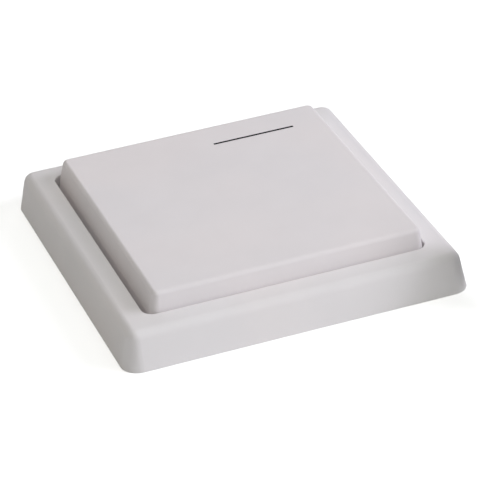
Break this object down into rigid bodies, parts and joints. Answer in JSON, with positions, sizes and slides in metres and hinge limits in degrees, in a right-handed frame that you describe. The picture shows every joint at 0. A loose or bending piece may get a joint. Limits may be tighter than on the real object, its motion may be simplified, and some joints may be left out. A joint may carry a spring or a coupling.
{
  "type": "wireless button remote",
  "caption": "Flat square wireless push-plate transmitter: a wide rocking key in a drafted frame with rounded corners, with an inlaid line near one corner of the key.",
  "frame": {"origin": "middle of the square base, on the surface it rests on or is fixed to", "axes": "+X along the front edge to the right, +Y to the rear edge, +Z out of the base towards the key"},
  "size_m": [0.08, 0.08, 0.0135],
  "materials": {
    "shell": "satin",
    "key": "satin",
    "line": "matte",
    "base": "matte",
    "housing": "matte",
    "steel": "brushed",
    "screw": "satin",
    "board": "glossy",
    "contact_pads": "satin",
    "silicone": "matte",
    "holder": "matte",
    "cell_can": "satin",
    "spring_strip": "satin",
    "chip": "matte",
    "can": "satin",
    "copper": "satin",
    "lens": "glossy",
    "switch_case": "matte",
    "switch_key": "satin",
    "resistor": "satin",
    "capacitor": "satin"
  },
  "bodies": {
    "housing": {"cover_frame": "shell", "hinge_pin_left": "steel", "hinge_pin_right": "steel", "base_plate": "base", "transmitter_tray": "housing", "transmitter_cover": "housing", "circuit_board": "board", "dome_contacts": "contact_pads", "rubber_dome_rear": "silicone", "rubber_dome_front": "silicone", "battery_holder": "holder", "coin_cell": "cell_can", "negative_contact": "spring_strip", "positive_contact": "spring_strip", "controller_chip": "chip", "radio_chip": "chip", "crystal_can": "can", "antenna_coil": "copper", "status_led": "lens", "pairing_switch": "switch_case", "chip_resistors": "resistor", "chip_capacitors": "capacitor", "cover_screws": "screw"},
    "rocker": {"rocker_plate": "key", "marker_line": "line"},
    "pairing_key": {"pairing_button": "switch_key"}
  },
  "joints": [
    {"name": "rocker_tilt", "type": "hinge", "parent": "housing", "child": "rocker", "pos_m": [0, 0, 0.0072], "axis": [1, 0, 0], "range_deg": [-1.8, 1.8], "stiffness_Nm_per_rad": 0.5, "deforming": ["rubber_dome_front", "rubber_dome_rear"]},
    {"name": "pairing_press", "type": "slide", "parent": "housing", "child": "pairing_key", "axis": [0, 0, -1], "range_m": [0, 0.00025], "stiffness_N_per_m": 1500}
  ]
}
